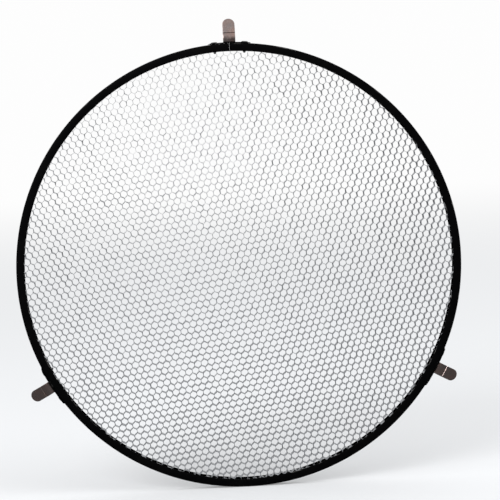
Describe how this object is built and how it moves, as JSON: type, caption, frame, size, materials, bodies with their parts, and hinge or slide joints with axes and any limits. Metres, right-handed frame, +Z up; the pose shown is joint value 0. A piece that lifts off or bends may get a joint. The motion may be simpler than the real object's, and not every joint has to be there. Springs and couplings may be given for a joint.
{
  "type": "honeycomb grid",
  "caption": "Round honeycomb grid for a beauty dish: a black rolled rim holds an expanded foil core, with sprung clips that snap over the dish's edge.",
  "frame": {"origin": "centre of the ring in the plane of its rear face, which bears on the dish", "axes": "+Y along the ring's axis from the front face to the dish, +Z up through the top clip, +X to the right seen from the front"},
  "size_m": [0.41, 0.012, 0.4324],
  "materials": {
    "rim_paint": "satin black paint",
    "saddle_paint": "satin black paint",
    "rivet_black": "black lacquer",
    "core_foil": "bright rolled foil",
    "spring_steel": "plated spring steel",
    "pin_steel": "plain steel"
  },
  "bodies": {
    "grid": {"rim_channel": "rim_paint", "honeycomb_core": "core_foil", "saddle_plate_top": "saddle_paint", "spring_foot_top": "spring_steel", "rivet_top_a": "rivet_black", "rivet_pin_top_a": "pin_steel", "rivet_top_b": "rivet_black", "rivet_pin_top_b": "pin_steel", "saddle_plate_left": "saddle_paint", "spring_foot_left": "spring_steel", "rivet_left_a": "rivet_black", "rivet_pin_left_a": "pin_steel", "rivet_left_b": "rivet_black", "rivet_pin_left_b": "pin_steel", "saddle_plate_right": "saddle_paint", "spring_foot_right": "spring_steel", "rivet_right_a": "rivet_black", "rivet_pin_right_a": "pin_steel", "rivet_right_b": "rivet_black", "rivet_pin_right_b": "pin_steel"},
    "clip_top": {"spring_leaf_top": "spring_steel"},
    "clip_left": {"spring_leaf_left": "spring_steel"},
    "clip_right": {"spring_leaf_right": "spring_steel"}
  },
  "joints": [
    {"name": "clip_top_flex", "type": "hinge", "parent": "grid", "child": "clip_top", "pos_m": [0, -0.0082, 0.2055], "axis": [1, 0, 0], "range_deg": [0, 20], "stiffness_Nm_per_rad": 1.2},
    {"name": "clip_left_flex", "type": "hinge", "parent": "grid", "child": "clip_left", "pos_m": [-0.17797, -0.0082, -0.10275], "axis": [-0.5, 0, 0.866], "range_deg": [0, 20], "stiffness_Nm_per_rad": 1.2},
    {"name": "clip_right_flex", "type": "hinge", "parent": "grid", "child": "clip_right", "pos_m": [0.17797, -0.0082, -0.10275], "axis": [-0.5, 0, -0.866], "range_deg": [0, 20], "stiffness_Nm_per_rad": 1.2}
  ]
}
